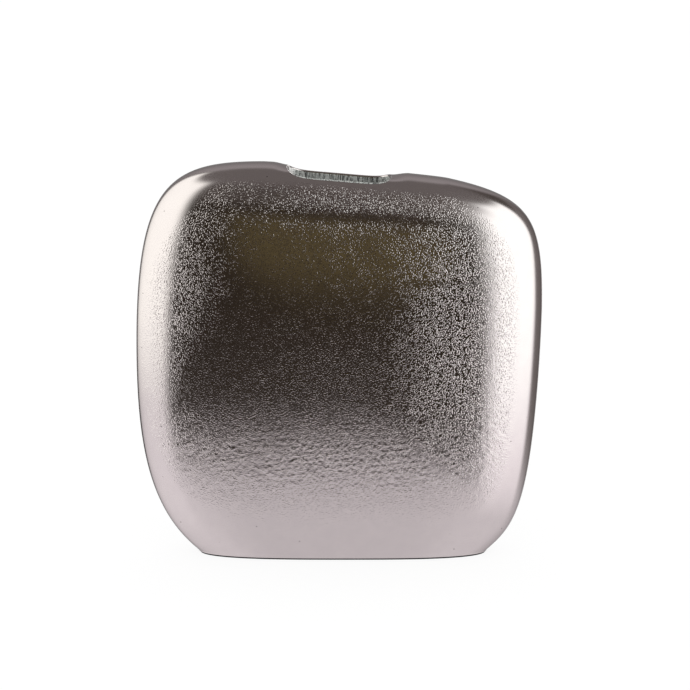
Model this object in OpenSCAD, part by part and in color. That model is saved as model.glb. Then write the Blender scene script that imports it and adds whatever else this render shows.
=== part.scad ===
// Flat pillow-shaped vase of cast aluminium: two half shells welded edge to edge round the sides,
// a plate welded into the foot, and a soft pad glued under it. X runs across the width, Y through
// the depth and Z up, with the origin on the table under the middle of the width.

/* [Body] */
// Width across the widest part
body_w = 300; // [270:1:330]
// Height from the table to the top of the higher lobe
body_h = 294; // [270:0.5:320]
// Depth through the middle of the two faces
body_d = 90; // [80:1:100]
// Wall of the two castings
wall = 4; // [3:0.1:5]

/* [Mouth] */
// Length of the mouth along the crown
mouth_l = 73.5; // [62:0.5:88]
// Width of the mouth from front to back
mouth_w = 36; // [28:1:42]
// Distance of the mouth's middle to the right of the body's middle
mouth_x = 0.2; // [-4:0.1:6]
// Height of the thicker metal round the mouth, under the crown
lip_wall = 6.5; // [5.5:0.1:9]
// Dressed edge round the mouth
lip_break = 1.2; // [0.6:0.1:2]
// Length over which the wall thickens towards the mouth
lip_reach = 24; // [12:1:36]

/* [Foot] */
// Length of the foot
foot_l = 217; // [200:1:234]
// Width of the foot from front to back
foot_w = 57; // [50:0.5:64]
// Distance of the foot's middle to the right of the body's middle
foot_x = 2.8; // [-2:0.1:6]
// Width of the rim that the castings leave round the base plate
foot_rim = 3; // [2.6:0.1:4]
// Width of the ledge that the base plate is pushed up against
foot_ledge = 1.5; // [1:0.1:2.5]
// Dressed edge round the foot
foot_break = 0.8; // [0.4:0.1:1.2]
// Thickness of the base plate
plate_t = 3; // [2.6:0.1:5]
// Leg of the weld that runs round the base plate
base_weld_leg = 1.5; // [1:0.1:2]

/* [Pad] */
// Thickness of the pad
pad_t = 1.2; // [0.8:0.1:2]
// Distance from the foot's edge to the pad's edge
pad_inset = 1.4; // [0.8:0.1:2.4]

/* [Seam] */
// Width of the weld that fills the groove between the castings
seam_w = 4; // [3:0.1:5]
// Depth of that groove
seam_d = 2; // [1.2:0.1:2.4]

/* [Hidden] */

cast_colour = "#b9aeb0";
weld_colour = "#cfc8c8";
plate_colour = "#a9a6a4";
pad_colour = "#1d1d1e";

// Power of the faces' bulge: a smaller one makes a flatter face with a tighter edge
bulge_share = 0.4;
// Power of the mouth's two round ends, seen from above
mouth_end_share = 0.18;
// Height of the middle of the faces
face_z_share = 0.51;
// How late the points along a face lean over to the ends of the mouth and the foot
lean_share = 0.15;
// Distance beyond those ends from which they come
mouth_spread = 10;
foot_spread = 10;

// Knots of the outline between the tips of the foot, clockwise from the left side: x as a share of
// the half width, z as a share of the height, the heading in degrees, and the handles before and
// after the knot as shares of the width and the height. The second knot is the top of the left
// lobe, the third the crown right of the mouth, and the fourth the widest point on the right.
knot_shares = [
    [-1, 0.502, 90, 0.244, 0.442],
    [-0.377, 1, 0, 0.233, 0.045],
    [0.534, 0.958, -12.8, 0.045, 0.21],
    [1, 0.639, -90, 0.218, 0.045],
    [0.939, 0.215, -99.5, 0.145, 0.139]
];
left_tip_heading = 139.6;
left_tip_share = 0.148;
right_tip_heading = -137;
right_tip_share = 0.058;

// Steps along each curve of the outline, over the mouth and over the foot
left_steps = [12, 18];
crown_left_steps = 3;
mouth_steps = 20;
crown_right_steps = 3;
right_steps = [16, 8, 9];
foot_steps = 24;
// Rows of points from the middle of a face to its edge, outside and inside
outer_rows = 14;
inner_rows = 8;
search_steps = 30;

foot_z = pad_t;
edge_z = foot_z + foot_break;
seat_z = foot_z + plate_t;
half_d = body_d / 2;
inner_d = half_d - wall;
face_mid = [0, face_z_share * body_h];
left_tip = [foot_x - foot_l / 2, edge_z];
right_tip = [foot_x + foot_l / 2, edge_z];

function mix(a, b, t) = a + (b - a) * t;
function unit(v) = v / norm(v);
function clamped(v) = min(1, max(0, v));
function signed_power(v, s) = sign(v) * pow(abs(v), s);
function reversed(list) = [for (i = [len(list) - 1 : -1 : 0]) list[i]];
function on_seam(p) = [p[0], 0, p[1]];

// Outline along the seam: a chain of cubic curves through the knots
knots = concat(
    [concat(left_tip, [left_tip_heading, 0, left_tip_share])],
    [for (k = knot_shares) [k[0] * body_w / 2, k[1] * body_h, k[2], k[3], k[4]]],
    [concat(right_tip, [right_tip_heading, right_tip_share, 0])]
);
function knot_at(k) = [k[0], k[1]];
function handle(k, share) = share * [cos(k[2]) * body_w, sin(k[2]) * body_h];
function chain_curve(n) = let (a = knots[n], b = knots[n + 1])
    [knot_at(a), knot_at(a) + handle(a, a[4]), knot_at(b) - handle(b, b[3]), knot_at(b)];
function chain_point(n, t) = let (p = chain_curve(n), u = 1 - t)
    u * u * u * p[0] + 3 * u * u * t * p[1] + 3 * u * t * t * p[2] + t * t * t * p[3];
function chain_inward(n, t) = let (
    p = chain_curve(n),
    u = 1 - t,
    along = u * u * (p[1] - p[0]) + 2 * u * t * (p[2] - p[1]) + t * t * (p[3] - p[2])
) unit([along[1], -along[0]]);

// Place on a curve that has a given x, found by halving between a place left of it and one right of it
function found(curve, x, left, right, tries = search_steps) = let (mid = (left + right) / 2)
    tries == 0 ? mid :
    curve(mid)[0] < x ? found(curve, x, mid, right, tries - 1) : found(curve, x, left, mid, tries - 1);
// The crown over the mouth is the third curve of the chain
crown = function (t) chain_point(2, t);
function crown_place(x) = found(crown, x, 0, 1);

// A face bulges along each ray from its middle to the outline. At the angle turn, which runs from 0
// at the middle to 90 at the outline, a point is out_at of the way along and deep_at of the depth.
function out_at(turn) = pow(sin(turn), 2 * bulge_share);
function deep_at(turn) = pow(cos(turn), 2 * bulge_share);
function turn_deep(share) = acos(pow(share, 0.5 / bulge_share));
function skin_point(outline, turn, depth) = let (at = mix(face_mid, outline, out_at(turn)))
    [at[0], depth * deep_at(turn), at[1]];
function lean(k, rows) = pow(k / rows, 1 / lean_share);

// Mouth seen from above, in the direction a round from its left end, grown by a margin
function mouth_point(a, margin) = let (
    reach = pow(pow(abs(cos(a)), 1 / mouth_end_share) + pow(sin(a), 1 / mouth_end_share), -mouth_end_share)
) [
    mouth_x - (mouth_l / 2 + margin) * reach * cos(a),
    (mouth_w / 2 + margin) * reach * sin(a)
];
mouth_left = mouth_x - mouth_l / 2;
mouth_right = mouth_x + mouth_l / 2;
rim_left = mouth_left - lip_break;
rim_right = mouth_right + lip_break;

// Foot seen from above, at the angle a from its right end, drawn in by an inset. The powers of its
// two ends are those at which the faces run smoothly past the tips of the foot.
function tip_power(tip, heading) = let (
    slope = abs(cos(heading) * body_w / (sin(heading) * body_h)),
    run = (face_mid[1] - edge_z) * slope + abs(tip[0])
) bulge_share * run / (foot_l / 2) * pow(foot_w / body_d, 1 / bulge_share);
foot_left_share = tip_power(left_tip, left_tip_heading);
foot_right_share = tip_power(right_tip, right_tip_heading);
function foot_share(side) = side < 0 ? foot_left_share : foot_right_share;
function foot_point(a, inset) = [
    foot_x + (foot_l / 2 - inset) * signed_power(cos(a), 2 * foot_share(cos(a))),
    (foot_w / 2 - inset) * signed_power(sin(a), 2 * bulge_share)
];
// Outline past the foot, as if the face ran on below it
function foot_outline(a, inset, z, depth) = let (p = foot_point(a, inset))
    face_mid + ([p[0], z] - face_mid) / out_at(turn_deep(p[1] / depth));
left_flank = function (t) chain_point(0, t);
right_flank = function (t) chain_point(last_curve, t);
below_foot = function (a) foot_outline(a, 0, edge_z, half_d);
last_curve = len(knots) - 2;

// Places along the seam, clockwise from the left tip of the foot up to the mouth and from there down
// to the right tip: the curve's number, the place on it that a face's points start out for, and the
// place where they end
left_start = found(left_flank, left_tip[0] - foot_spread, 1, 0);
right_start = found(right_flank, right_tip[0] + foot_spread, 1, 0);
rim_start = [crown_place(rim_left - mouth_spread), crown_place(rim_right + mouth_spread)];
rim_end = [crown_place(rim_left), crown_place(rim_right)];
function stations(n, start, end, steps) = [for (i = [0 : steps - 1])
    [n, mix(start[0], start[1], i / steps), mix(end[0], end[1], i / steps)]];
left_stations = concat(
    stations(0, [left_start, 1], [0, 1], left_steps[0]),
    stations(1, [0, 1], [0, 1], left_steps[1]),
    stations(2, [0, rim_start[0]], [0, rim_end[0]], crown_left_steps),
    [[2, rim_start[0], rim_end[0]]]
);
right_stations = concat(
    stations(2, [rim_start[1], 1], [rim_end[1], 1], crown_right_steps),
    stations(3, [0, 1], [0, 1], right_steps[0]),
    stations(4, [0, 1], [0, 1], right_steps[1]),
    stations(last_curve, [0, right_start], [0, 1], right_steps[2]),
    [[last_curve, right_start, 1]]
);

// A ray of a casting is a list of points: the outer skin from its middle out, three points across
// the metal's edge, and the inner skin back to its middle
function outer_side(at) = [for (k = [1 : outer_rows]) let (
    outline = chain_point(at[0], mix(at[1], at[2], lean(k, outer_rows)))
) skin_point(outline, turn_deep(seam_w / body_d) * k / outer_rows, half_d)];
function side_wall(x) = mix(lip_wall, wall, clamped(max(rim_left - x, x - rim_right) / lip_reach));
function inner_outline(n, t) = let (p = chain_point(n, t)) p + side_wall(p[0]) * chain_inward(n, t);
function inner_side(at) = [for (k = [1 : inner_rows])
    skin_point(inner_outline(at[0], mix(at[1], at[2], lean(k, inner_rows))), 90 * k / inner_rows, inner_d)];
function spaced(a, b) = [for (i = [0 : 2]) mix(a, b, i / 3)];

// On the sides the edge runs from the groove's root over the joint face
function side_ray(at) = let (
    inner = inner_side(at),
    root = chain_point(at[0], at[2]) + seam_d * chain_inward(at[0], at[2])
) concat(outer_side(at), spaced(on_seam(root), inner[inner_rows - 1]), reversed(inner));

// At the mouth it is the dressed rim and the throat under it
function mouth_skin(i, margin, drop, depth, rows) = let (
    p = mouth_point(180 * i / mouth_steps, margin),
    last = turn_deep(p[1] / depth),
    reach = margin + mouth_spread,
    start = mix(crown_place(mouth_left - reach), crown_place(mouth_right + reach), i / mouth_steps),
    end = crown_place(p[0] / out_at(last))
) [for (k = [1 : rows])
    skin_point(crown(mix(start, end, lean(k, rows))) - [0, drop], last * k / rows, depth)];
function mouth_inner(i) = mouth_skin(i, 0, lip_wall, inner_d, inner_rows);
function mouth_ray(i) = let (
    outer = mouth_skin(i, lip_break, 0, half_d, outer_rows),
    inner = mouth_inner(i),
    low = inner[inner_rows - 1],
    top = [low[0], low[1], outer[outer_rows - 1][2] - lip_break]
) concat(outer, spaced(top, low), reversed(inner));
function mouth_end_ray(at, i) = let (
    inner = mouth_inner(i),
    low = inner[inner_rows - 1],
    root = [low[0], 0, chain_point(at[0], at[2])[1] - seam_d]
) concat(outer_side(at), spaced(root, low), reversed(inner));

// At the foot it is the dressed corner, the underside of the rim and the seat of the base plate
function below_at(x) =
    x < left_tip[0] ? left_flank(found(left_flank, x, 1, 0)) :
    x > right_tip[0] ? right_flank(found(right_flank, x, 1, 0)) :
    below_foot(found(below_foot, x, 180, 0));
function foot_start(a) = let (
    p = foot_point(a, 0) - [foot_x, 0],
    travel_share = (abs(p[0]) + foot_w / 2 - p[1]) / (foot_l / 2 + foot_w / 2)
) foot_x + sign(p[0]) * (foot_l / 2 + foot_spread) * travel_share;
function foot_outer(i) = let (
    a = 180 * i / foot_steps,
    start = foot_start(a),
    end = below_foot(a)[0],
    last = turn_deep(foot_point(a, 0)[1] / half_d)
) [for (k = [1 : outer_rows])
    skin_point(below_at(mix(start, end, lean(k, outer_rows))), last * k / outer_rows, half_d)];
function foot_inner(i) = let (
    a = 180 * i / foot_steps,
    inset = foot_rim + foot_ledge,
    outer = below_at(foot_start(a)),
    start = outer - wall * unit(outer - face_mid),
    end = foot_outline(a, inset, seat_z, inner_d),
    last = turn_deep(foot_point(a, inset)[1] / inner_d)
) [for (k = [1 : inner_rows])
    skin_point(mix(start, end, lean(k, inner_rows)), last * k / inner_rows, inner_d)];
function foot_edge(i) = let (seat = foot_point(180 * i / foot_steps, foot_rim))
    [concat(seat, [foot_z]), concat(seat, [seat_z])];
function foot_ray(i) = concat(
    foot_outer(i),
    [concat(foot_point(180 * i / foot_steps, foot_break), [foot_z])],
    foot_edge(i),
    reversed(foot_inner(i))
);
function tip_ray(at, i) = let (tip = chain_point(at[0], at[2]), into = tip[0] < foot_x ? 1 : -1)
    concat(
        outer_side(at),
        [[tip[0] + seam_d * into, 0, foot_z]],
        foot_edge(i),
        reversed(foot_inner(i))
    );

left_end = len(left_stations) - 1;
right_end = len(right_stations) - 1;
left_rays = concat(
    [tip_ray(left_stations[0], foot_steps)],
    [for (i = [1 : left_end - 1]) side_ray(left_stations[i])],
    [mouth_end_ray(left_stations[left_end], 0)]
);
right_rays = concat(
    [mouth_end_ray(right_stations[0], mouth_steps)],
    [for (i = [1 : right_end - 1]) side_ray(right_stations[i])],
    [tip_ray(right_stations[right_end], 0)]
);
mouth_rays = [for (i = [1 : mouth_steps - 1]) mouth_ray(i)];
foot_rays = [for (i = [1 : foot_steps - 1]) foot_ray(i)];

function forward(p) = [p[0], -p[1], p[2]];
function quad(a, b, c, d) = [[a, b, c], [a, c, d]];

// Front casting: the skin over all the rays, clockwise from the left tip of the foot
module casting() {
    rays = concat(left_rays, mouth_rays, right_rays, foot_rays);
    count = len(rays);
    size = len(rays[0]);
    mids = [on_seam(face_mid) + [0, half_d, 0], on_seam(face_mid) + [0, inner_d, 0]];
    faces = [for (r = [0 : count - 1]) let (a = r * size, b = (r + 1) % count * size) each concat(
        [[count * size, a, b]],
        [for (i = [0 : size - 2]) each quad(a + i, a + i + 1, b + i + 1, b + i)],
        [[count * size + 1, b + size - 1, a + size - 1]]
    )];
    color(cast_colour) polyhedron([for (p = concat([for (ray = rays) each ray], mids)) forward(p)], faces);
}

// Weld that fills the groove along one side, flush with the castings. Each ring of it has a front
// edge, a crest, a rear edge and a root.
module seam_weld(along, rays) {
    points = [for (i = [0 : len(along) - 1]) let (ray = rays[i]) each [
        forward(ray[outer_rows - 1]),
        on_seam(chain_point(along[i][0], along[i][2])),
        ray[outer_rows - 1],
        ray[outer_rows]
    ]];
    last = len(points) - 4;
    ends = [[1, 0, 3], [2, 1, 3], [last, last + 1, last + 3], [last + 1, last + 2, last + 3]];
    sides = [for (a = [0 : 4 : last - 4]) let (b = a + 4) each concat(
        quad(a, a + 1, b + 1, b),
        quad(a + 1, a + 2, b + 2, b + 1),
        quad(a + 2, a + 3, b + 3, b + 2),
        quad(a, b, b + 3, a + 3)
    )];
    color(weld_colour) polyhedron(points, concat(ends, sides));
}

// Line round the foot at an inset, flat or at a height
function foot_line(inset) = [for (i = [0 : 2 * foot_steps - 1]) foot_point(180 * i / foot_steps, inset)];
function foot_ring(inset, z) = [for (p = foot_line(inset)) concat(p, [z])];

// Skin over rings of equal count: the last ring joins the first, or both are capped flat
module ringed(rings, capped) {
    count = len(rings[0]);
    turns = len(rings);
    steps = [for (r = [0 : capped ? turns - 2 : turns - 1], i = [0 : count - 1])
        let (a = r * count, b = (r + 1) % turns * count, j = (i + 1) % count)
        each quad(a + i, b + i, b + j, a + j)];
    caps = [[for (i = [0 : count - 1]) i], [for (i = [count - 1 : -1 : 0]) (turns - 1) * count + i]];
    polyhedron([for (ring = rings) each ring], capped ? concat(steps, caps) : steps);
}

module front_shell() {
    casting();
}

module rear_shell() {
    mirror([0, 1, 0]) casting();
}

module left_seam_weld() {
    seam_weld(left_stations, left_rays);
}

module right_seam_weld() {
    seam_weld(right_stations, right_rays);
}

// Plate in the foot, bevelled round its underside for the weld
module base_plate() {
    color(plate_colour) ringed([
        foot_ring(foot_rim + base_weld_leg, foot_z),
        foot_ring(foot_rim, foot_z + base_weld_leg),
        foot_ring(foot_rim, seat_z)
    ], true);
}

// Weld in that bevel, ground flush with the foot
module base_weld() {
    color(weld_colour) ringed([
        foot_ring(foot_rim, foot_z),
        foot_ring(foot_rim, foot_z + base_weld_leg),
        foot_ring(foot_rim + base_weld_leg, foot_z)
    ], false);
}

module base_pad() {
    color(pad_colour) linear_extrude(pad_t) polygon(foot_line(pad_inset));
}

front_shell();
rear_shell();
left_seam_weld();
right_seam_weld();
base_plate();
base_weld();
base_pad();
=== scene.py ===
import bpy  # noqa: E402
import numpy as np  # noqa: E402
from bpy.props import FloatProperty, FloatVectorProperty, PointerProperty  # noqa: E402
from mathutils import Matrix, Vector  # noqa: E402


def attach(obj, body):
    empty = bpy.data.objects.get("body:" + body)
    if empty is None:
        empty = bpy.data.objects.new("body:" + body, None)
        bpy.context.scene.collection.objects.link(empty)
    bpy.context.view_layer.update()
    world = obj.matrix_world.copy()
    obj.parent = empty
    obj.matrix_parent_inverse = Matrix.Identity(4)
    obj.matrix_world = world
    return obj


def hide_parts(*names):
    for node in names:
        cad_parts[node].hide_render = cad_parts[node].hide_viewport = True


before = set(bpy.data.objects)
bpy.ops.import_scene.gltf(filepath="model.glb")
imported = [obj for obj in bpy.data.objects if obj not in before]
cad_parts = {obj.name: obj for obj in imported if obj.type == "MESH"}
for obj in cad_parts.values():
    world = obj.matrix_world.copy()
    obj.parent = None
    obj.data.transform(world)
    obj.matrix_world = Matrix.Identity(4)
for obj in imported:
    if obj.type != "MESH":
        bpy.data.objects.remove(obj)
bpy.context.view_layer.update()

bl_info = {
    "name": "Cast pillow vase",
    "version": (1, 0, 0),
    "blender": (4, 5, 0),
    "location": "View3D > Sidebar > Vase",
    "description": "Flat pillow-shaped vase of sand-cast aluminium, on a pale studio floor",
    "category": "Object",
}

MM = 0.001
TINY = 1e-9

# Shape, in millimetres
BODY_W, BODY_H, BODY_D = 300.0, 294.0, 90.0
HALF_D = BODY_D / 2
WALL = 4.0
INNER_D = HALF_D - WALL
# Power of the faces' bulge: a smaller one makes a flatter face with a tighter edge
BULGE = 0.4
FACE_Z_SHARE = 0.51
FACE_MID = np.array([0.0, FACE_Z_SHARE * BODY_H])
MOUTH_L, MOUTH_W, MOUTH_X, MOUTH_ENDS = 73.5, 36.0, 0.2, 0.18
LIP_WALL, LIP_ROUND, LIP_REACH = 6.5, 1.2, 24.0
FOOT_L, FOOT_W, FOOT_X = 217.0, 57.0, 2.8
FOOT_RIM, FOOT_LEDGE, FOOT_ROUND = 3.0, 1.5, 0.8
PAD_T, PAD_INSET, PLATE_T = 1.2, 1.4, 3.0
SEAM_W, SEAM_D = 4.0, 2.0
EDGE_Z = PAD_T + FOOT_ROUND
SEAT_Z = PAD_T + PLATE_T
TIP_X = (FOOT_X - FOOT_L / 2, FOOT_X + FOOT_L / 2)
RIM_X = (MOUTH_X - MOUTH_L / 2 - LIP_ROUND, MOUTH_X + MOUTH_L / 2 + LIP_ROUND)
# Knots of the outline between the foot's tips: x and z as shares of the half width and the height,
# heading in degrees, and the lengths of the handles before and after as shares
KNOTS = (
    (-1, 0.502, 90, 0.244, 0.442),
    (-0.377, 1, 0, 0.233, 0.045),
    (0.534, 0.958, -12.8, 0.045, 0.21),
    (1, 0.639, -90, 0.218, 0.045),
    (0.939, 0.215, -99.5, 0.145, 0.139),
)
TIP_HANDLES = ((139.6, 0.148), (-137.0, 0.058))
# Parts of a casting's edge, clockwise
LEFT, MOUTH, RIGHT, FOOT = range(4)

# Steps along each curve of the outline, along the lines of the mouth and the foot, and along the
# bulge's profile
CURVE_STEPS, TURN_STEPS, ARC_STEPS = 500, 4000, 6000
# Half of the step, in millimetres, over which the outline's direction is taken
SLOPE_STEP = 0.05
# Rays run from the middle of a face to its edge. A square grid, CORE quads wide, covers the first
# CORE_SHARE of their length, and RING rows of points the rest. The inside has every COARSEth ray.
CORE, RING, COARSE = 210, 48, 8
RAYS = 4 * CORE
CORE_SHARE = 0.6
# Ray that heads for the lower left corner of the body, where the grid has a corner
CORNER_RAY = 13
# The rays lean over late to the ends of the mouth and the foot, from SPREAD beyond those ends
LEAN_SHARE, SPREAD = 0.15, 10.0
LEAN_POWER = 1 / LEAN_SHARE


def power(value, share):
    """The value's size to a power, with its sign kept."""
    return np.sign(value) * np.abs(value) ** share


def xyz(x, y, z):
    """Points from coordinates, of which any may be one number for all."""
    return np.stack(np.broadcast_arrays(x, y, z), -1)


def out_at(turn):
    """Share of the way from the middle of a face to the outline, at an angle of the bulge."""
    return np.sin(turn) ** (2 * BULGE)


def deep_at(turn):
    """Share of the half depth there."""
    return np.abs(np.cos(turn)) ** (2 * BULGE)


def turn_deep(share):
    """Angle of the bulge at a share of the half depth, the inverse of deep_at."""
    return np.arccos(np.clip(share, 0, 1) ** (0.5 / BULGE))


def bulged(line, turn, depth):
    """Points of a skin, from places in the seam's plane, angles of the bulge and its full depth."""
    flat = FACE_MID + (line - FACE_MID) * out_at(turn)[:, None]
    return xyz(flat[:, 0], -depth * deep_at(turn), flat[:, 1])


def lie_flat(x, z, turn):
    """Places in the seam's plane that bulged brings to x and z."""
    return FACE_MID + (np.stack([x, z], -1) - FACE_MID) / out_at(turn)[:, None]


SEAM_TURN = turn_deep(SEAM_W / BODY_D)


def travel(points):
    """Distance along a row of points: the running sum of the lengths of its steps."""
    return np.concatenate([[0], np.cumsum(np.linalg.norm(np.diff(points, axis=0), axis=1))])


def side_curves():
    """Cubic curves through the knots, clockwise from the foot's left tip to its right one."""
    rows = np.array(
        [(TIP_X[0], EDGE_Z, TIP_HANDLES[0][0], 0, TIP_HANDLES[0][1])]
        + [(x * BODY_W / 2, z * BODY_H, a, b, c) for x, z, a, b, c in KNOTS]
        + [(TIP_X[1], EDGE_Z, TIP_HANDLES[1][0], TIP_HANDLES[1][1], 0)]
    )
    heading = np.radians(rows[:, 2])
    way = np.stack([np.cos(heading) * BODY_W, np.sin(heading) * BODY_H], 1)
    p0, p3 = rows[:-1, :2], rows[1:, :2]
    p1, p2 = p0 + way[:-1] * rows[:-1, 4:], p3 - way[1:] * rows[1:, 3:4]
    p0, p1, p2, p3 = (p[:, None] for p in (p0, p1, p2, p3))
    t = (np.arange(CURVE_STEPS) / CURVE_STEPS)[None, :, None]
    u = 1 - t
    return (u**3 * p0 + 3 * t * u**2 * p1 + 3 * t**2 * u * p2 + t**3 * p3).reshape(-1, 2)


def tip_share(tip_x, heading):
    """Power of the foot's end at which a face runs smoothly past the tip. The run is how far the
    outline's direction there, carried on up to the middle of the face, moves in x, with the tip's x
    added."""
    turn = np.radians(heading)
    slope = abs(np.cos(turn) * BODY_W / (np.sin(turn) * BODY_H))
    run = (FACE_MID[1] - EDGE_Z) * slope + abs(tip_x)
    return BULGE * run / (FOOT_L / 2) * (FOOT_W / BODY_D) ** (1 / BULGE)


FOOT_ENDS = (tip_share(TIP_X[0], TIP_HANDLES[0][0]), tip_share(TIP_X[1], TIP_HANDLES[1][0]))


def foot_line(turn, inset):
    """Foot from above, by angle from its right end. Its two ends have powers of their own."""
    ends = np.where(np.cos(turn) < 0, *FOOT_ENDS)
    x = FOOT_X + (FOOT_L / 2 - inset) * power(np.cos(turn), 2 * ends)
    return x, (FOOT_W / 2 - inset) * power(np.sin(turn), 2 * BULGE)


def mouth_line(turn, margin):
    """Mouth from above, by direction from its left end: a superellipse grown by a margin."""
    along, across = np.cos(turn), np.abs(np.sin(turn))
    reach = (np.abs(along) ** (1 / MOUTH_ENDS) + across ** (1 / MOUTH_ENDS)) ** -MOUTH_ENDS
    return MOUTH_X - (MOUTH_L / 2 + margin) * reach * along, (MOUTH_W / 2 + margin) * reach * across


class Outline:
    """The outline along the seam, carried on below the foot as if the faces ran on there. Places on
    it are distances clockwise from the foot's left tip."""

    def __init__(self):
        sides = side_curves()
        # the steps shrink at both tips, where the foot's line turns sharply
        self.below_turn = np.pi / 2 * (1 - np.cos(np.linspace(0, np.pi, TURN_STEPS + 1)))
        x, y = foot_line(self.below_turn, 0)
        below = lie_flat(x, np.full_like(x, EDGE_Z), turn_deep(y / HALF_D))
        self.points = np.concatenate([sides, below])
        self.places = travel(self.points)
        self.side_end = self.places[len(sides)]
        self.total = self.places[-1]
        self.below_places = self.places[len(sides):]

    def at(self, place):
        """Points at places on the outline."""
        place = np.mod(place, self.total)
        return np.stack([np.interp(place, self.places, self.points[:, k]) for k in (0, 1)], -1)

    def inward(self, place):
        """Unit vector across the outline, towards the middle."""
        step = self.at(place + SLOPE_STEP) - self.at(place - SLOPE_STEP)
        step = step / np.linalg.norm(step, axis=-1, keepdims=True)
        return np.stack([step[..., 1], -step[..., 0]], -1)

    def crown(self, x):
        """Place on the crown above the mouth, the third curve, at a given x."""
        part = slice(2 * CURVE_STEPS, 3 * CURVE_STEPS + 1)
        return np.interp(x, self.points[part, 0], self.places[part])

    def flank(self, x, curve):
        """Place on the first or the last curve, at a given x."""
        part = slice(curve * CURVE_STEPS, (curve + 1) * CURVE_STEPS)
        return np.interp(-x, -self.points[part, 0], self.places[part])


def arc_table():
    """Distance along the bulge's profile against its angle, for a middling reach."""
    turn = np.linspace(0, np.pi / 2, ARC_STEPS + 1)
    return turn, travel(np.stack([BODY_W / 2 * out_at(turn), HALF_D * deep_at(turn)], 1))


ARC_TURN, ARC = arc_table()


def spaced(values, points, count):
    """Values at places spaced evenly along a row of points, from the first and without the last."""
    along = travel(points)
    return np.interp(np.linspace(0, along[-1], count, endpoint=False), along, values)


class Rays:
    """Rays of a casting, clockwise from the foot's left tip, shared out to the parts of its edge by
    their lengths. Each has the place on the outline that it starts out for, the place where it ends,
    the bulge's angle there, its part, and its turn round the mouth or the foot."""

    def __init__(self, outline):
        turn = np.linspace(0, np.pi, TURN_STEPS + 1)
        turn = turn[mouth_line(turn, LIP_ROUND)[1] >= SEAM_W / 2]
        x, y = mouth_line(turn, LIP_ROUND)
        bulge = turn_deep(y / HALF_D)
        rise = (outline.at(outline.crown(x / out_at(bulge)))[:, 1] - FACE_MID[1]) * out_at(bulge)
        mouth = xyz(x, y, rise)
        below = outline.below_turn[foot_line(outline.below_turn, 0)[1] >= SEAM_W / 2]
        foot = np.stack(foot_line(below, 0), 1)
        rims = [outline.crown(x) for x in RIM_X]
        lengths = np.array([rims[0], travel(mouth)[-1], outline.side_end - rims[1], travel(foot)[-1]])
        counts = np.round(lengths / lengths.sum() * RAYS).astype(int)
        counts[FOOT] += RAYS - counts.sum()
        starts = [
            outline.flank(TIP_X[0] - SPREAD, 0),
            outline.crown(RIM_X[0] - SPREAD),
            outline.crown(RIM_X[1] + SPREAD),
            outline.flank(TIP_X[1] + SPREAD, len(KNOTS)),
        ]
        starts.append(starts[0] + outline.total)
        self.start = np.concatenate([
            np.linspace(starts[k], starts[k + 1], count, endpoint=False) for k, count in enumerate(counts)
        ])
        mouth_turn = spaced(turn, mouth, counts[MOUTH])
        foot_turn = spaced(below, foot, counts[FOOT])
        x, y = mouth_line(mouth_turn, LIP_ROUND)
        mouth_bulge = np.minimum(turn_deep(y / HALF_D), SEAM_TURN)
        foot_bulge = np.minimum(turn_deep(foot_line(foot_turn, 0)[1] / HALF_D), SEAM_TURN)
        self.end = np.concatenate([
            np.linspace(0, rims[0], counts[LEFT], endpoint=False),
            outline.crown(x / out_at(mouth_bulge)),
            np.linspace(rims[1], outline.side_end, counts[RIGHT], endpoint=False),
            np.interp(foot_turn, outline.below_turn, outline.below_places),
        ])
        left, right = np.full(counts[LEFT], SEAM_TURN), np.full(counts[RIGHT], SEAM_TURN)
        self.bulge = np.concatenate([left, mouth_bulge, right, foot_bulge])
        self.part = np.repeat([LEFT, MOUTH, RIGHT, FOOT], counts)
        self.turn = np.concatenate([np.zeros(counts[LEFT]), mouth_turn, np.zeros(counts[RIGHT]), foot_turn])
        self.total = outline.total


OUTLINE = Outline()
RAY = Rays(OUTLINE)


def face_points(place, share):
    """Points of the front skin, and the bulge's angle at each. place is a ray's number, with fractions
    between rays, and share how far along the ray by distance. A ray heads for its start's place on
    the outline and leans over to its end's."""
    at = np.mod(place, RAYS)
    low = np.floor(at).astype(int)
    part = at - low

    def between(values, lap=0.0):
        high = np.where(low + 1 == RAYS, values[0] + lap, values[(low + 1) % RAYS])
        return values[low] * (1 - part) + high * part

    start, end = between(RAY.start, RAY.total), between(RAY.end, RAY.total)
    outline = OUTLINE.at(start + (end - start) * share**LEAN_POWER)
    reach = np.interp(between(RAY.bulge), ARC_TURN, ARC)
    turn = np.interp(share * reach, ARC, ARC_TURN)
    return bulged(outline, turn, HALF_D), turn


def core_grid():
    """Square grid over the middle of a face: its points' ray numbers and shares, its indices, and its
    outer loop in the order of the rays."""
    side = np.linspace(-1, 1, CORE + 1)
    u, v = (g.ravel() for g in np.meshgrid(side, side, indexing="ij"))
    ring = np.maximum(np.abs(u), np.abs(v))
    safe = np.where(ring > 0, ring, 1)
    us, vs = u / safe, v / safe
    # the left, upper, right and lower sides of the square, clockwise from its lower left corner
    lap = np.select(
        [us <= -1 + TINY, vs >= 1 - TINY, us >= 1 - TINY],
        [(vs + 1) / 2, 1 + (us + 1) / 2, 2 + (1 - vs) / 2],
        3 + (1 - us) / 2,
    )
    index = np.arange((CORE + 1) ** 2).reshape(CORE + 1, CORE + 1)
    loop = np.concatenate([index[0, :-1], index[:-1, -1], index[-1, :0:-1], index[:0:-1, 0]])
    return CORNER_RAY + lap * CORE, ring * CORE_SHARE, index, loop


# Rows over the metal's edge: over the quarter circle, and then down the throat, as shares of the way
QUARTER_ROWS = 4
THROAT_SHARES = (1 / 3, 2 / 3, 1)
EDGE_ROWS = QUARTER_ROWS + len(THROAT_SHARES)
# Rows of the skin round the mouth that take the inside's paler, duller metal: a painted highlight along the
# lip
LIP_HIGHLIGHT_ROWS = 1
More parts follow.
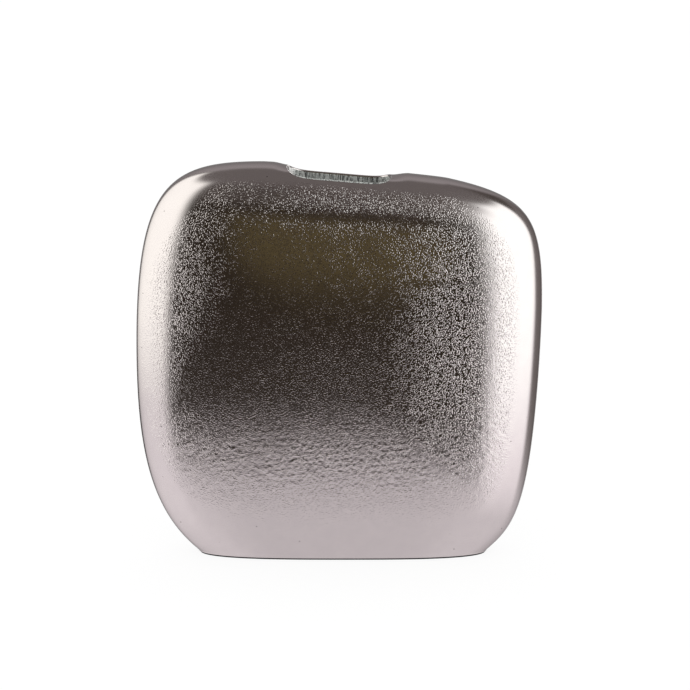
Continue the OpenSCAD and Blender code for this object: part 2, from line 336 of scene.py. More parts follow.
# Rows of the inside, as shares of the way from the middle of the face to its edge
INNER_SHARES = (0.97, 0.93, 0.87, 0.8, 0.71, 0.61, 0.5, 0.38, 0.25, 0.12)
# How many of a casting's groups of faces are its skin
SKIN_GROUPS = 2


def side_wall(x):
    """Thickness across the outline, which grows to LIP_WALL over LIP_REACH before the mouth."""
    near = np.clip(np.maximum(RIM_X[0] - x, x - RIM_X[1]) / LIP_REACH, 0, 1)
    return LIP_WALL + (WALL - LIP_WALL) * near


def edge_points(skin_edge):
    """Rows over the metal's edge, from the skin to the inside. At the sides they run down the weld's
    groove and across the joint. At the mouth they turn a quarter circle of LIP_ROUND and go down the
    throat, and at the foot they turn one of FOOT_ROUND and go under the rim and up to the seat."""
    rows = np.empty((EDGE_ROWS, RAYS, 3))
    side = (RAY.part == LEFT) | (RAY.part == RIGHT)
    outline, inward = OUTLINE.at(RAY.end[side]), OUTLINE.inward(RAY.end[side])
    root = outline + SEAM_D * inward
    inner = outline + side_wall(outline[:, :1]) * inward
    across = np.linspace(0, 1, EDGE_ROWS)[:, None, None]
    flat = root + (inner - root) * across
    rows[:, side] = xyz(flat[..., 0], 0, flat[..., 1])

    mouth, turn = RAY.part == MOUTH, RAY.turn[RAY.part == MOUTH]
    quarter = np.linspace(0, np.pi / 2, QUARTER_ROWS + 1)[1:]
    top = skin_edge[mouth, 2]
    for k, q in enumerate(quarter):
        x, y = mouth_line(turn, LIP_ROUND * (1 - np.sin(q)))
        rows[k, mouth] = xyz(x, -y, top - LIP_ROUND * (1 - np.cos(q)))
    x, y = mouth_line(turn, 0)
    bulge = turn_deep(y / INNER_D)
    crown = OUTLINE.at(OUTLINE.crown(x / out_at(bulge)))[:, 1] - LIP_WALL
    low = FACE_MID[1] + (crown - FACE_MID[1]) * out_at(bulge)
    for k, down in enumerate(THROAT_SHARES, QUARTER_ROWS):
        rows[k, mouth] = xyz(x, -y, top - LIP_ROUND + (low - top + LIP_ROUND) * down)

    foot, turn = RAY.part == FOOT, RAY.turn[RAY.part == FOOT]
    path = [(FOOT_ROUND * (1 - np.cos(q)), EDGE_Z - FOOT_ROUND * np.sin(q)) for q in quarter]
    path += [(FOOT_RIM, PAD_T), (FOOT_RIM, SEAT_Z), (FOOT_RIM + FOOT_LEDGE, SEAT_Z)]
    for k, (inset, z) in enumerate(path):
        x, y = foot_line(turn, inset)
        rows[k, foot] = xyz(x, -y, z)
    return rows


def inside_points(inner_edge):
    """Coarse rows of the inner skin, from its edge to the middle of the face."""
    pick = slice(None, None, COARSE)
    edge = inner_edge[pick]
    bulge = turn_deep(-edge[:, 1] / INNER_D)
    own = lie_flat(edge[:, 0], edge[:, 2], bulge)
    start = OUTLINE.at(RAY.start[pick])
    start = start + WALL * (FACE_MID - start) / np.linalg.norm(FACE_MID - start, axis=1)[:, None]
    reach = np.interp(bulge, ARC_TURN, ARC)
    rows = []
    for share in INNER_SHARES:
        line = start + (own - start) * share**LEAN_POWER
        rows.append(bulged(line, np.interp(share * reach, ARC, ARC_TURN), INNER_D))
    return np.array(rows)


def strips(loops):
    """Quads between neighbouring closed loops of indices, all of one length."""
    a, b = loops[:-1], loops[1:]
    return np.stack([a, np.roll(a, -1, 1), np.roll(b, -1, 1), b], -1).reshape(-1, 4)


def fan(loop, pole, onwards=True):
    """Triangles between a closed loop of indices and the index of a pole, turned over if not onwards."""
    ends = [loop, np.roll(loop, -1)]
    return np.stack([*(ends if onwards else ends[::-1]), np.full(len(loop), pole)], 1)


def end_fans(index, first_pole, last_pole):
    """Triangles that close the first and the last loop of a tube, each with a pole."""
    return np.concatenate([fan(index[0], first_pole, onwards=False), fan(index[-1], last_pole)])


def tie_triangles(fine, coarse):
    """Triangles between a closed loop of indices and one with a COARSEth of its points."""
    fine = np.append(fine, fine[0])
    here, there = coarse, np.roll(coarse, -1)
    half = COARSE // 2
    ties = [
        np.stack([fine[k:-1:COARSE], fine[k + 1 :: COARSE], here if k < half else there], 1)
        for k in range(COARSE)
    ]
    return np.concatenate([*ties, np.stack([fine[half:-1:COARSE], there, here], 1)])


def casting_mesh():
    """The front casting: core grid and rings of the skin, rows over the edge, and the inside. Gives
    its points, the bulge's angle at each, which is a right angle past the skin, and its groups of
    faces, each with the number of its material: 0 is the skin's, and 1 that of the raw metal."""
    place, share, index, loop = core_grid()
    core, core_turn = face_points(place, share)
    rays = np.arange(RAYS, dtype=float)
    steps = np.linspace(CORE_SHARE, 1, RING + 1)[1:]
    ring, ring_turn = face_points(np.tile(rays, RING), np.repeat(steps, RAYS))
    rows = edge_points(ring[-RAYS:])
    inside = inside_points(rows[-1])
    middle = np.array([[FACE_MID[0], -INNER_D, FACE_MID[1]]])
    points = np.concatenate([core, ring, rows.reshape(-1, 3), inside.reshape(-1, 3), middle])
    past_skin = np.full(len(points) - len(core) - len(ring), np.pi / 2)
    turn = np.concatenate([core_turn, ring_turn, past_skin])

    outer = len(core) + np.arange((RING + EDGE_ROWS) * RAYS).reshape(-1, RAYS)
    loops = np.concatenate([np.roll(loop, CORNER_RAY)[None], outer])
    grid = np.stack([index[:-1, :-1], index[1:, :-1], index[1:, 1:], index[:-1, 1:]], -1)
    skin = np.concatenate([grid.reshape(-1, 4), strips(loops[: RING + 1])])
    edge = strips(loops[RING:])
    coarse = np.arange(loops[-1, -1] + 1, len(points) - 1).reshape(inside.shape[:2])
    ends = [tie_triangles(loops[-1], coarse[0]), fan(coarse[-1], len(points) - 1)]

    # painted highlight: the lip's last row of skin gets the inside's paler metal
    lip_highlight = np.zeros(len(skin), dtype=bool)
    lip_highlight[-LIP_HIGHLIGHT_ROWS * RAYS :] = np.tile(RAY.part == MOUTH, LIP_HIGHLIGHT_ROWS)
    throat = np.zeros(len(edge), dtype=bool)
    throat[QUARTER_ROWS * RAYS :] = np.tile(RAY.part == MOUTH, len(THROAT_SHARES))
    groups = [
        (skin[~lip_highlight], 0),
        (skin[lip_highlight], 1),
        (edge[~throat], 0),
        (edge[throat], 1),
        (strips(coarse), 1),
        (np.concatenate(ends), 1),
    ]
    return points, turn, groups


def waves(points, flatten, low, high, count, seed):
    """Relief of about unit size: the sum of count plane waves in random directions of space, with
    lengths between low and high millimetres, flattened in z."""
    points = points * (1, 1, flatten)
    rng = np.random.default_rng(seed)
    way = rng.normal(size=(count, 3))
    way /= np.linalg.norm(way, axis=1)[:, None]
    way *= (2 * np.pi / rng.uniform(low, high, count))[:, None]
    phase = rng.uniform(0, 2 * np.pi, count)
    total = np.zeros(len(points))
    for w, p in zip(way, phase):
        total += np.cos(points @ w + p)
    return total * np.sqrt(2 / count)


def ramp(value, low, high):
    """Smooth step from 0 at low to 1 at high: 3 t^2 - 2 t^3."""
    t = np.clip((value - low) / (high - low), 0, 1)
    return t * t * (3 - 2 * t)


def fade(value, low, high):
    """Smooth step from 1 at low to 0 at high."""
    return 1 - ramp(value, low, high)


def within(value, span, soft):
    """1 inside a span and 0 outside, with a smooth edge at either end, each as wide as soft says."""
    low, high = span
    rising = ramp(value, low - soft[0] / 2, low + soft[0] / 2)
    return rising * fade(value, high - soft[1] / 2, high + soft[1] / 2)


# How far the crown dips at the left and the right end of the mouth, how far that reaches along the
# crown and into the mouth, and how far from the seam it starts to fade
RIM_DIP, RIM_ROLL, INTO_MOUTH, RIM_SIDE = (1.5, 2.4), (12.0, 15.0), 8.0, 7.0


def dip_rim(points):
    """Lowers the crown where it rolls over into the ends of the mouth, and nothing far below it."""
    past = np.abs(points[:, 0] - MOUTH_X) - MOUTH_L / 2
    end = np.where(points[:, 0] < MOUTH_X, 0, 1)
    near = ramp(past, -INTO_MOUTH, 0) * fade(past, 0, np.array(RIM_ROLL)[end])
    near = near * ramp(points[:, 2], BODY_H - 2 * LIP_REACH, BODY_H - LIP_REACH)
    near = near * fade(np.abs(points[:, 1]), RIM_SIDE, MOUTH_W / 2)
    return points - np.array([0, 0, 1]) * (np.array(RIM_DIP)[end] * near)[:, None]


def skin_normals(points, quads):
    """Unit normals of the points, as the mean of their quads' by area."""
    a, b, c, d = (points[quads[:, k]] for k in range(4))
    face = np.cross(c - a, d - b)
    total = np.zeros_like(points)
    for axis in range(3):
        total[:, axis] = np.bincount(quads.ravel(), np.repeat(face[:, axis], 4), len(points))
    return total / np.maximum(np.linalg.norm(total, axis=1), TINY)[:, None]


# Strength of the sand's grain, as shares of the full one, and the spans over which each comes in or
# wears off, in millimetres to the right of the middle of the width, or up from the table
PLAIN_GRAIN, PLAIN_RIGHT, PLAIN_HIGH = 0.22, 0.11, 0.12
PLAIN_RIGHT_X, PLAIN_HIGH_Z = (-70, 20), (175, 235)
RIGHT_GRAIN, RIGHT_X = 0.92, (25, 90)
# On the left the span slants: it is one of z and x together
LEFT_GRAIN, LEFT_BY_Z, LEFT_BY_X, LEFT_MID_Z, LEFT_SPAN = 0.85, 0.5, 0.9, 157, (84, 136)
LEFT_LOSS, LEFT_LOSS_Z = 0.35, (205, 240)
TOP_GRAIN, TOP_Z = 0.62, (238, 264)
TOP_LOSS, TOP_LOSS_Z = 0.5, (266, 286)
TOP_AT_LEFT, TOP_TO_RIGHT, TOP_X = 0.65, 0.35, (-80, -10)
LOW_GRAIN, LOW_Z = 0.7, (85, 130)
FOOT_GRAIN, ABOVE_FOOT, FOOT_Z = 0.1, 0.9, (5, 85)
# A low ridge under the crown, which falls away to the right of RIDGE_X, and a short line on the right
# lose a share of the grain, which comes back between two distances from them
RIDGE_Z, RIDGE_X, RIDGE_FALL = 258.5, -7, 0.0008
RIDGE_LOSS, RIDGE_HALF, RIDGE_START_X = 0.6, (1, 5), (-60, -10)
LINE_LOSS, LINE_HALF, LINE_Z, LINE_X, LINE_SOFT = 0.35, (1, 4), 211, (50, 115), (20, 20)
# Angles of the bulge over which the grain gives way to linished metal, in degrees, and how many more
# they are in the middle high up, on both flanks, and for the last of the grain on the left flank
LINISHED = (44, 54)
HIGH_MORE, HIGH_Z, HIGH_X = 16, (200, 255), (80, 120)
FLANK_MORE, FLANK_X, FLANK_LOW_Z, FLANK_HIGH_Z = 8, (85, 110), (20, 60), (245, 275)
TAIL_MORE, TAIL_X, TAIL_Z, TAIL_SOFT = 22, (85, 120), (75, 235), (50, 50)


def grain_share(points, turn):
    """Strength of the sand's grain. It is full on the right and high on the left, fair along the top
    and weak in the middle; it fades towards the foot and is linished away on the crown and sides."""
    x, z, degrees = points[:, 0], points[:, 2], np.degrees(turn)
    right = RIGHT_GRAIN * ramp(x, *RIGHT_X)
    left = LEFT_GRAIN * ramp(LEFT_BY_Z * (z - LEFT_MID_Z) - LEFT_BY_X * x, *LEFT_SPAN)
    left = left * (1 - LEFT_LOSS * ramp(z, *LEFT_LOSS_Z))
    top = TOP_GRAIN * ramp(z, *TOP_Z) * (1 - TOP_LOSS * ramp(z, *TOP_LOSS_Z))
    top = top * (TOP_AT_LEFT + TOP_TO_RIGHT * ramp(x, *TOP_X))
    plain = PLAIN_GRAIN + PLAIN_RIGHT * ramp(x, *PLAIN_RIGHT_X) + PLAIN_HIGH * ramp(z, *PLAIN_HIGH_Z)
    upper = plain + (1 - plain) * np.maximum(right, np.maximum(left, top))
    share = upper + (LOW_GRAIN - upper) * fade(z, *LOW_Z)
    share = share * (FOOT_GRAIN + ABOVE_FOOT * ramp(z, *FOOT_Z))
    ridge = np.abs(z - RIDGE_Z + RIDGE_FALL * np.maximum(x - RIDGE_X, 0) ** 2)
    share = share * (1 - RIDGE_LOSS * fade(ridge, *RIDGE_HALF) * ramp(x, *RIDGE_START_X))
    line = fade(np.abs(z - LINE_Z), *LINE_HALF)
    share = share * (1 - LINE_LOSS * line * within(x, LINE_X, LINE_SOFT))
    high = HIGH_MORE * ramp(z, *HIGH_Z) * fade(np.abs(x), *HIGH_X)
    flank = FLANK_MORE * ramp(np.abs(x), *FLANK_X) * ramp(z, *FLANK_LOW_Z) * fade(z, *FLANK_HIGH_Z)
    tail = TAIL_MORE * ramp(-x, *TAIL_X) * within(z, TAIL_Z, TAIL_SOFT)
    start, end = LINISHED
    return share * fade(degrees, start + high + flank, end + high + flank + tail)


# Waves of the skin's relief: how they are flattened, their shortest and longest length in
# millimetres, their number, and the seed of their directions
SHORT_WAVES, LONG_WAVES = (1.3, 2.3, 4.0, 48, 11), (1.6, 7, 16, 32, 12)
LONG_SHARE = 0.45
# The relief's height as a share everywhere, what is added low on the faces, and where that is
RELIEF_SHARE, RELIEF_LOW, RELIEF_Z, RELIEF_SOFT = 0.3, 1.45, (30, 100), (50, 50)
# Waves are cut off at this many times their unit size, on both sides
WAVE_LIMIT = 2.5


def grain_relief(points, share, height):
    """Depth below the plain skin: waves of the sand's coarser unevenness, strongest low on the faces,
    where the metal froze in soft wrinkles."""
    low = within(points[:, 2], RELIEF_Z, RELIEF_SOFT)
    uneven = waves(points, *SHORT_WAVES) + LONG_SHARE * waves(points, *LONG_WAVES)
    drop = WAVE_LIMIT - np.clip(uneven, -WAVE_LIMIT, WAVE_LIMIT)
    return height * share * (RELIEF_SHARE + RELIEF_LOW * low) * drop


# Angles in degrees past which an edge stays sharp: on metal, on the felt, and on the stage
METAL_EDGE, FELT_EDGE, STAGE_EDGE = 40, 60, 180


def add_mesh(name, points, groups, materials, flat_angle):
    """Mesh object of points in millimetres and groups of faces, each group with its material's number.
    Edges that turn by more than flat_angle degrees stay sharp."""
    mesh = bpy.data.meshes.new(name)
    sizes = np.concatenate([np.full(len(faces), faces.shape[1]) for faces, _ in groups])
    loops = np.concatenate([faces.ravel() for faces, _ in groups])
    numbers = np.repeat([number for _, number in groups], [len(faces) for faces, _ in groups])
    mesh.vertices.add(len(points))
    mesh.vertices.foreach_set("co", (points * MM).ravel())
    mesh.loops.add(len(loops))
    mesh.loops.foreach_set("vertex_index", loops)
    mesh.polygons.add(len(sizes))
    mesh.polygons.foreach_set("loop_start", np.cumsum(sizes) - sizes)
    mesh.update(calc_edges=True)
    mesh.polygons.foreach_set("material_index", numbers)
    mesh.polygons.foreach_set("use_smooth", np.ones(len(sizes), dtype=bool))
    mesh.set_sharp_from_angle(angle=np.radians(flat_angle))
    for material in materials:
        mesh.materials.append(material)
    piece = bpy.data.objects.new(name, mesh)
    bpy.context.scene.collection.objects.link(piece)
    return piece


def put_attribute(piece, name, values):
    """Number or RGBA colour per point that materials read."""
    kind, field = ("FLOAT", "value") if values.ndim == 1 else ("FLOAT_COLOR", "color")
    piece.data.attributes.new(name, kind, "POINT").data.foreach_set(field, values.ravel())


def finish_piece(piece, slot, *nodes):
    """Puts a piece on the part's one body, and hides the CAD nodes that it stands for. Its slot is not used.
    """
    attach(piece, "root")
    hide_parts(*nodes)


# Steps from the seam to either edge of a weld
WELD_STEPS = 4


def weld_mesh(part, first, last):
    """Weld along one side: the skin's own bulge across the seam over the two walls of the groove,
    which meet at its root. Its ends are closed."""
    places = RAY.end[RAY.part == part]
    places = np.unique(np.concatenate([[first], places, [last]]))
    turn = np.linspace(SEAM_TURN, np.pi / 2, WELD_STEPS + 1)
    out = np.concatenate([out_at(turn), out_at(turn[-2::-1])])
    deep = HALF_D * np.concatenate([-deep_at(turn), deep_at(turn[-2::-1])])
    outline = OUTLINE.at(places)
    flat = FACE_MID + (outline - FACE_MID)[:, None] * out[None, :, None]
    cap = xyz(flat[..., 0], deep, flat[..., 1])
    root = outline + SEAM_D * OUTLINE.inward(places)
    root = xyz(root[:, 0], 0, root[:, 1])[:, None]
    points = np.concatenate([cap, root], 1)
    index = np.arange(points.shape[0] * points.shape[1]).reshape(points.shape[:2])
    groups = [(strips(index), 0), (index[:1, ::-1], 0), (index[-1:], 0)]
    return dip_rim(points.reshape(-1, 3)), groups


# Points round the pad, degrees over its rounded edge, and rows on its flat sides as shares of its size
PAD_TURNS = 360
PAD_EDGE_DEGREES = (0, 30, 60, 90)
PAD_SHARES = (0.8, 0.5, 0.2)


def pad_mesh(rounding):
    """Pad: its section, a strip with quarter rounds of the given radius, carried round the foot's
    line, and both sides closed to the middle."""
    turn = np.linspace(0, 2 * np.pi, PAD_TURNS, endpoint=False)
    q = np.radians(PAD_EDGE_DEGREES)
    inset = PAD_INSET + rounding * (1 - np.cos(q))
    rise = rounding * (1 - np.sin(q))
    rings = [(i, PAD_T - z) for i, z in zip(inset[::-1], rise[::-1])] + list(zip(inset, rise))
    loops = []
    for i, z in rings:
        x, y = foot_line(turn, i)
        loops.append(xyz(x, y, z))
    middle = np.array([FOOT_X, 0, 0])
    over = [middle + (loops[0] - middle) * (s, s, 1) for s in PAD_SHARES[::-1]]
    under = [middle + (loops[-1] - middle) * (s, s, 1) for s in PAD_SHARES]
    loops = np.array(over + loops + under)
    index = np.arange(loops.shape[0] * PAD_TURNS).reshape(-1, PAD_TURNS)
    points = np.concatenate([loops.reshape(-1, 3), [(FOOT_X, 0, PAD_T), (FOOT_X, 0, 0)]])
    fans = end_fans(index, len(points) - 2, len(points) - 1)
    return points, [(strips(index)[:, ::-1], 0), (fans, 0)]


def linear(text):
    """Linear RGBA of an sRGB hex colour."""
    srgb = np.array([int(text[k : k + 2], 16) for k in (1, 3, 5)]) / 255
    low, high = srgb / 12.92, ((srgb + 0.055) / 1.055) ** 2.4
    return (*np.where(srgb <= 0.04045, low, high).tolist(), 1.0)


def add(tree, kind, inputs=None, **settings):
    """Adds a node. settings are its properties; inputs gives a value or an output socket by the name
    or number of an input."""
    made = tree.nodes.new(kind)
    for key, value in settings.items():
        setattr(made, key, value)
    for key, value in (inputs or {}).items():
        if isinstance(value, bpy.types.NodeSocket):
            tree.links.new(value, made.inputs[key])
        else:
            made.inputs[key].default_value = value
    return made


def new_material(name):
    """Empty material and its node tree."""
    material = bpy.data.materials.get(name) or bpy.data.materials.new(name)
    material.use_nodes = True
    material.node_tree.nodes.clear()
    return material, material.node_tree


def per_mm(size):
    """Scale of a noise texture on Object coordinates whose cells are size millimetres."""
    return 1 / (size * MM)


WHITE = linear("#FFFFFF")
# Grey tint of what the metal mirrors at a low angle: painted shade that darkens the castings and
# welds towards their outline, well below bare aluminium's own tint
GRAZING_SHADE_TINT = (0.5, 0.5, 0.5, 1.0)
# Sizes in millimetres: a casting's patches of tone, the belt's and the file's marks, a plate's rolling
# lines, and felt's fibres
PATCH_SIZE, BELT_SIZE, FILE_SIZE, ROLL_SIZE, FIBRE_SIZE = 9, 0.9, 0.85, 0.8, 0.7
# Depths in millimetres of the file's marks, the rolling lines, and between the fibres
FILE_DEPTH, ROLL_DEPTH, FIBRE_DEPTH = 0.25, 0.03, 0.25
# Scales that draw out the file's marks downwards and the rolling lines lengthwise
FILE_STRETCH, ROLL_STRETCH = 0.12, 0.03
# x in millimetres over which the painted highlight at the throat's left end gives way to the throat's own
# colour
LIT_END_X = (-35.5, -31)
# Gas pits that the skin cuts open, in millimetres: their width and how far apart they lie in the
# metal. A pit's dark colour fades between these shares of its width from its middle.
PIT_SIZE, PIT_SPACING = 1.1, 11.0
PIT_FADE = (0.3, 0.5)


def object_place(tree):
    """Object coordinates."""
    return add(tree, "ShaderNodeTexCoord").outputs["Object"]


def stretched(tree, place, scale):
    """Coordinates scaled along each axis."""
    return add(tree, "ShaderNodeMapping", {"Vector": place, "Scale": scale}).outputs["Vector"]


def noise(tree, place, size, detail, **more):
    """Noise whose cells are size millimetres."""
    inputs = {"Vector": place, "Scale": per_mm(size), "Detail": detail}
    return add(tree, "ShaderNodeTexNoise", {**inputs, **more}).outputs["Fac"]


def remap(tree, value, given, made=(0.0, 1.0), kind="LINEAR"):
    """Number carried from one span to another, and held at its ends."""
    ends = {"From Min": given[0], "From Max": given[1], "To Min": made[0], "To Max": made[1]}
    node = add(tree, "ShaderNodeMapRange", {"Value": value, **ends}, interpolation_type=kind)
    return node.outputs["Result"]


def times(tree, one, other):
    """Product of two numbers."""
    return add(tree, "ShaderNodeMath", {0: one, 1: other}, operation="MULTIPLY").outputs["Value"]


def blend(tree, share, first, second):
    """Colour that goes from the first to the second as share goes from 0 to 1."""
    inputs = {"Factor": share, "A": first, "B": second}
    return add(tree, "ShaderNodeMix", inputs, data_type="RGBA").outputs["Result"]


def bump(tree, height, distance, **more):
    """Normal of a surface that a height of 1 raises by a distance in metres."""
    inputs = {"Height": height, "Distance": distance, "Strength": 1.0}
    return add(tree, "ShaderNodeBump", {**inputs, **more}).outputs["Normal"]


def show(material, inputs, kind="ShaderNodeBsdfPrincipled"):
    """Gives a material the shader that it shows, and returns the material."""
    shader = add(material.node_tree, kind, inputs)
    add(material.node_tree, "ShaderNodeOutputMaterial", {"Surface": shader.outputs[0]})
    return material


def sand_cast_skin(finish):
    """Sand-cast aluminium, nickel toned and blasted: a warm grey mirror broken by the sand's grain on
    the faces, linished to a satin sheen on the crown and sides, with a few tiny dark gas pits."""
    material, tree = new_material("sand_cast_aluminium")
    place = object_place(tree)
    share = add(tree, "ShaderNodeAttribute", attribute_name="grain").outputs["Fac"]
    # only the noise's upper half stands out as grains, a little more in some patches than in others
    beads = remap(tree, noise(tree, place, finish.sand_size / MM, 0.0), (0.5, 0.82), kind="SMOOTHSTEP")
    patches = noise(tree, place, PATCH_SIZE, 3.0)
    strong = remap(tree, patches, (0.35, 0.65), (0.8, 1.15))
    grains = bump(tree, times(tree, times(tree, beads, share), strong), finish.sand_height)
    satin = bump(tree, noise(tree, place, BELT_SIZE, 2.0), finish.satin_height, Normal=grains)
    tone = blend(tree, patches, finish.metal_dark, finish.metal_pale)
    gas = add(tree, "ShaderNodeTexVoronoi", {"Vector": place, "Scale": per_mm(PIT_SPACING)})
    rims = [rim * PIT_SIZE / PIT_SPACING for rim in PIT_FADE]
    pit = remap(tree, gas.outputs["Distance"], rims, (1.0, 0.0))
    return show(material, {
        "Base Color": blend(tree, pit, tone, finish.pit_dark), "Metallic": 1.0,
        # the Specular Tint is painted shade that darkens grazing reflections towards the outline
        "Specular Tint": GRAZING_SHADE_TINT, "Normal": satin,
        "Roughness": remap(tree, share, (0.0, 1.0), (finish.side_roughness, finish.face_roughness)),
    })


def raw_cast_inside(finish):
    """Raw sand-cast aluminium inside: an oxide skin, half of whose light is dull and scattered, with
    file marks down the throat under 2 mm apart, painted shade in the grooves between them, and a
    painted highlight that whitens the throat's left end."""
    material, tree = new_material("raw_cast_aluminium")
    place = object_place(tree)
    down = stretched(tree, place, (1.0, 1.0, FILE_STRETCH))
    marks = remap(tree, noise(tree, down, FILE_SIZE, 2.0, Roughness=0.55), (0.38, 0.58), kind="SMOOTHSTEP")
    # painted shade: the grooves between the file marks get the dark colour
    tone = blend(tree, marks, finish.throat_groove_shade, finish.throat_metal)
    along = add(tree, "ShaderNodeSeparateXYZ", {"Vector": place}).outputs["X"]
    # painted highlight: the throat's left end turns near white where light falls on it
    lit_end = remap(tree, along, [x * MM for x in LIT_END_X], (1.0, 0.0), kind="SMOOTHSTEP")
    return show(material, {
        "Base Color": blend(tree, lit_end, tone, finish.throat_end_highlight), "Metallic": 0.5, "Roughness": 0.6,
        "Normal": bump(tree, marks, FILE_DEPTH * MM),
    })


def ground_weld(finish):
    """Aluminium weld metal ground flush with a belt: satin, with a faint grind."""
    material, tree = new_material("ground_weld_metal")
    grind = noise(tree, object_place(tree), BELT_SIZE, 2.0)
    return show(material, {
        "Base Color": blend(tree, grind, finish.metal_dark, finish.metal_pale), "Metallic": 1.0,
        # the Specular Tint is painted shade that darkens grazing reflections towards the outline
        "Specular Tint": GRAZING_SHADE_TINT, "Roughness": finish.side_roughness,
        "Normal": bump(tree, grind, finish.satin_height),
    })


def rolled_plate(base):
    """Mill-finish aluminium plate: grey, with fine rolling lines along its length."""
    material, tree = new_material("rolled_aluminium_plate")
    lengthwise = stretched(tree, object_place(tree), (ROLL_STRETCH, 1.0, 1.0))
    lines = noise(tree, lengthwise, ROLL_SIZE, 3.0)
    return show(material, {
        "Base Color": blend(tree, lines, base.plate_dark, base.plate_pale), "Metallic": 1.0,
        "Roughness": 0.35, "Normal": bump(tree, lines, ROLL_DEPTH * MM),
    })


def pressed_felt(base):
    """Pressed wool felt, black: no gloss, with matted fibres about a millimetre long."""
    material, tree = new_material("pressed_felt")
    fibres = noise(tree, object_place(tree), FIBRE_SIZE, 4.0, Roughness=0.7, Distortion=1.5)
    return show(material, {
        "Base Color": blend(tree, fibres, base.felt_dark, base.felt_pale), "Roughness": 0.95,
        "Sheen Weight": 0.2, "Normal": bump(tree, fibres, FIBRE_DEPTH * MM),
    })


# Studio as the vase's metal sees it: cards laid one over the other, each with its azimuths and
# elevations in degrees, 0 being in front and 90 on the right, its brightness, where a white floor is
# 1, its tint, the widths of its soft edges on the left and right, below and above, and how far its
# two sides lean over for each degree of elevation within LEAN_HEIGHT
ALL_ROUND = (-180, 180)
LEAN_HEIGHT = 12.0
CARDS = (
    ("dark room", ALL_ROUND, (-100, 100), 0.04, "#FFE6C4", (0, 0, 0.1, 0.1), (0, 0)),
    ("upper wall", ALL_ROUND, (38, 100), 0.12, "#FFF2E6", (0, 0, 14, 14), (0, 0)),
    ("ceiling", ALL_ROUND, (60, 100), 0.22, "#FFF8F2", (0, 0, 12, 12), (0, 0)),
    ("back wall", (148, 216), (-12, 66), 0.5, "#FFFCFA", (14, 14, 14, 14), (0, 0)),
    ("right wall", (98, 150), (-30, 40), 0.28, "#FFF8F2", (12, 12, 12, 12), (0, 0)),
    ("olive screen", (-14, 13), (2, 27), 0.14, "#FFEAA6", (16, 16, 14, 10), (0, 0)),
    ("table", ALL_ROUND, (-100, -22.5), 0.93, "#FFFFFF", (0, 0, 12, 14), (0, 0)),
    ("table on the left", (-150, -30), (-100, -27), 1.1, "#FFFFFF", (40, 36, 12, 14), (0, 0)),
    ("table by the left box", (-140, -53), (-48, -8), 1.25, "#FFFFFF", (16, 14, 24, 24), (0, 0)),
    ("table on the right", (22, 100), (-100, -28), 1.05, "#FFFFFF", (30, 30, 12, 14), (0, 0)),
    ("table by the right box", (38, 98), (-30, -4), 1.62, "#FFFFFF", (14, 14, 24, 12), (0, 0)),
    ("window", (152, 186), (-30, -2), 1.9, "#FFFFFF", (10, 10, 8, 8), (0, 0)),
    ("left box", (-138, -50.5), (-12, 62), 1.98, "#FAFFF7", (10, 14, 10, 8), (0, 0.22)),
    ("right box", (34.5, 99), (-16, 57), 2.25, "#F8FFFA", (16, 12, 10, 8), (-0.35, 0.45)),
    ("flag above the right box", (10, 46), (46, 62), 0.16, "#FFF2E6", (10, 24, 18, 12), (0, 0)),
)
# The dome's radius in metres, and the step between its points and its last rings' elevation in degrees
DOME_RADIUS, DOME_STEP, DOME_TOP = 2.4, 2.0, 88
# Half the floor's width in metres
FLOOR_REACH = 20.0
# Glow of the floor's plain white: a little over 1, so that open floor stays white with its paint mixed in
FLOOR_GLOW = 1.04


def glow_at(azimuth, elevation):
    """Light of the studio from a direction, as RGBA."""
    glow = np.zeros((len(azimuth), 4))
    lean_by = np.clip(elevation, -LEAN_HEIGHT, LEAN_HEIGHT)
    for _, sides, heights, bright, tint, soft, lean in CARDS:
        share = within(elevation, heights, soft[2:])
        if sides != ALL_ROUND:
            middle = (sides[0] + sides[1]) / 2
            turn = (azimuth - middle + 180) % 360 - 180
            leaning = [side - middle + k * lean_by for side, k in zip(sides, lean)]
            share = share * within(turn, leaning, soft[:2])
        glow = glow + (bright * np.array(linear(tint)) - glow) * share[:, None]
    return glow


def reflector_dome():
    """Sphere round the vase that only reflections see, which shines by glow_at."""
    count = int(360 / DOME_STEP)
    azimuth = np.arange(count) * DOME_STEP
    elevation = np.linspace(-DOME_TOP, DOME_TOP, int(2 * DOME_TOP / DOME_STEP) + 1)
    el, az = (g.ravel() for g in np.meshgrid(elevation, azimuth, indexing="ij"))
    a, e = np.radians(az), np.radians(el)
    way = xyz(np.sin(a) * np.cos(e), -np.cos(a) * np.cos(e), np.sin(e))
    points = np.concatenate([way, [(0, 0, -1), (0, 0, 1)]]) * DOME_RADIUS / MM + (0, 0, BODY_H / 2)
    index = np.arange(len(way)).reshape(-1, count)
    groups = [(strips(index), 0), (end_fans(index, len(way), len(way) + 1), 0)]
    material, tree = new_material("reflector_cards")
    glow = add(tree, "ShaderNodeAttribute", attribute_name="glow").outputs["Color"]
    show(material, {"Color": glow, "Strength": 1.0}, "ShaderNodeEmission")
    dome = add_mesh("reflector_dome", points, groups, [material], STAGE_EDGE)
    poles = glow_at(np.zeros(2), np.array([-90.0, 90.0]))
    put_attribute(dome, "glow", np.concatenate([glow_at(az, el), poles]))
    dome.visible_camera = dome.visible_diffuse = dome.visible_shadow = False
    dome.visible_transmission = dome.visible_volume_scatter = False


